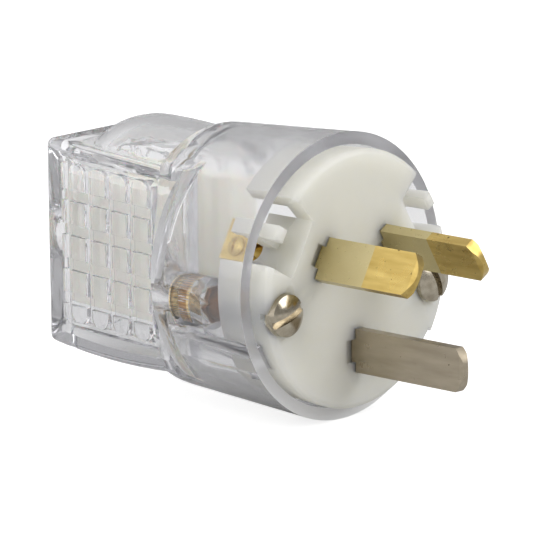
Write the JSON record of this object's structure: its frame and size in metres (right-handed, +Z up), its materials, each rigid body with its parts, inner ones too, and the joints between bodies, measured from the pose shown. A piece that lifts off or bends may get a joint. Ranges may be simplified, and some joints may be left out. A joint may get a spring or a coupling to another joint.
{
  "type": "rewireable mains plug",
  "caption": "Clear rewireable mains plug: tapered barrel with a wedge-shaped ribbed grip, white pin base, flat sleeved pins and screw terminals inside.",
  "frame": {"origin": "centre of the pin layout on the front face of the pin base", "axes": "-Y the way the pins point, +Y towards the cord entry, +Z up with the earth pin at the bottom, +X right seen from the pins"},
  "size_m": [0.0418, 0.0758, 0.0418],
  "materials": {
    "clear_plastic": "clear, polished",
    "white_plastic": "satin moulded",
    "sleeve_plastic": "satin moulded",
    "brass": "drawn and tumbled",
    "nickel": "nickel plated, dull",
    "steel": "nickel plated, bright"
  },
  "bodies": {
    "root": {"body": "clear_plastic", "pin_base": "white_plastic", "active_pin": "brass", "neutral_pin": "brass", "earth_pin": "nickel", "active_pin_sleeve": "sleeve_plastic", "neutral_pin_sleeve": "sleeve_plastic", "active_terminal": "brass", "neutral_terminal": "brass", "earth_terminal": "brass", "active_clamp_screw": "brass", "neutral_clamp_screw": "brass", "earth_clamp_screw": "brass", "right_body_screw": "steel", "left_body_screw": "steel", "right_insert": "brass", "left_insert": "brass", "right_cord_jaw": "white_plastic", "left_cord_jaw": "white_plastic"}
  },
  "joints": []
}
